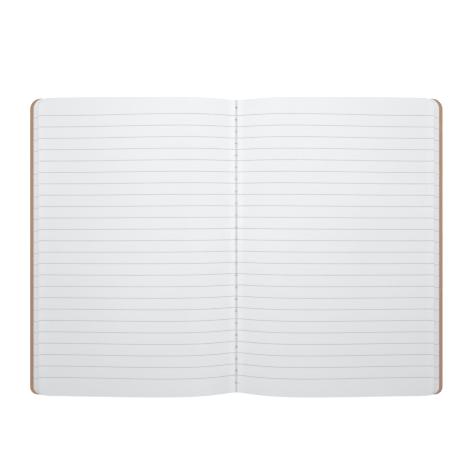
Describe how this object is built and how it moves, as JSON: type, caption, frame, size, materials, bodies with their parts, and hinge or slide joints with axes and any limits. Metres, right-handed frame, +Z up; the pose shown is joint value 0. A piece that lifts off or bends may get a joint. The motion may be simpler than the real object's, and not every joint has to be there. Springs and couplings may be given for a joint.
{
  "type": "open sewn composition notebook",
  "caption": "Thin soft-cover exercise book lying open at its centre spread: folded ruled sheets sewn through the fold to a card cover that swings on the spine.",
  "frame": {"origin": "on the table under the fold, half way from head to tail: the bottom centre of the whole", "axes": "+X over the right-hand page towards the back cover's fore-edge, +Y towards the head of the page, +Z up out of the open pages"},
  "size_m": [0.2922, 0.21, 0.018],
  "materials": {
    "page_paper": "uncoated white writing paper with fine grey ruling",
    "kraft_card": "uncoated brown kraft card with short fibres and flecks",
    "sewing_thread": "twisted white cotton-covered thread"
  },
  "bodies": {
    "pages": {"page_block": "page_paper", "cover_spine": "kraft_card", "needle_thread": "sewing_thread", "bobbin_thread": "sewing_thread"},
    "front_cover": {"front_cover": "kraft_card"},
    "back_cover": {"back_cover": "kraft_card"}
  },
  "joints": [
    {"name": "front_cover_fold", "type": "hinge", "parent": "pages", "child": "front_cover", "pos_m": [-0.0031, 0, 0], "axis": [0, -1, 0], "range_deg": [0, 90]},
    {"name": "back_cover_fold", "type": "hinge", "parent": "pages", "child": "back_cover", "pos_m": [0.0031, 0, 0], "axis": [0, 1, 0], "range_deg": [0, 90]}
  ]
}
